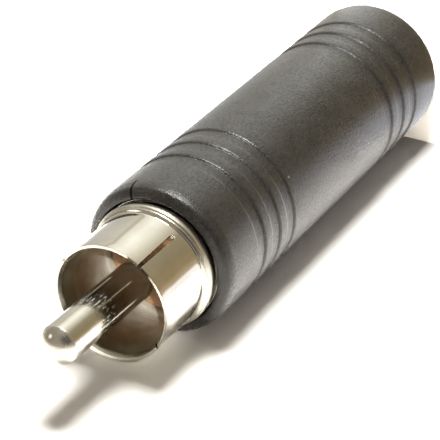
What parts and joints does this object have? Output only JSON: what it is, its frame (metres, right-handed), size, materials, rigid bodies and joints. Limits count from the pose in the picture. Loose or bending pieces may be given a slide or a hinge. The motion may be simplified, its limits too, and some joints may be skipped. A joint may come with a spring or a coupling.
{
  "type": "trs to rca adapter",
  "caption": "Straight in-line audio adapter: quarter inch socket in a grooved black moulded barrel, nickel plated RCA plug with slotted shell and centre pin.",
  "frame": {"origin": "centre of the socket end face, which the adapter stands on", "axes": "+Z along the axis from the socket end to the tip of the RCA pin; +Y towards the tip contact leaf, +X towards the sleeve contact leaf"},
  "size_m": [0.0128, 0.0128, 0.0537],
  "materials": {
    "barrel_plastic": "fine satin moulded black",
    "nickel_plate": "bright nickel plate on brass",
    "brown_laminate": "punched phenolic laminate",
    "core_plastic": "black moulded insulating plastic",
    "spring_bronze": "rolled bronze spring strip",
    "liner_paper": "insulating paper",
    "tinned_wire": "tinned copper wire",
    "solder_grey": "dull solder"
  },
  "bodies": {
    "root": {"barrel": "barrel_plastic", "ground_tube": "nickel_plate", "rca_shell": "nickel_plate", "rca_insulator": "brown_laminate", "centre_pin": "nickel_plate", "pin_lug": "nickel_plate", "socket_bushing": "nickel_plate", "jack_core": "core_plastic", "contact_carrier": "core_plastic", "tip_spring": "spring_bronze", "ring_spring": "spring_bronze", "sleeve_spring": "spring_bronze", "insulating_sleeve": "liner_paper", "tip_lead": "tinned_wire", "ring_link": "tinned_wire", "ground_lead": "tinned_wire", "tip_solder": "solder_grey", "ring_solder": "solder_grey", "sleeve_solder": "solder_grey", "lug_solder": "solder_grey", "shell_solder": "solder_grey"}
  },
  "joints": []
}
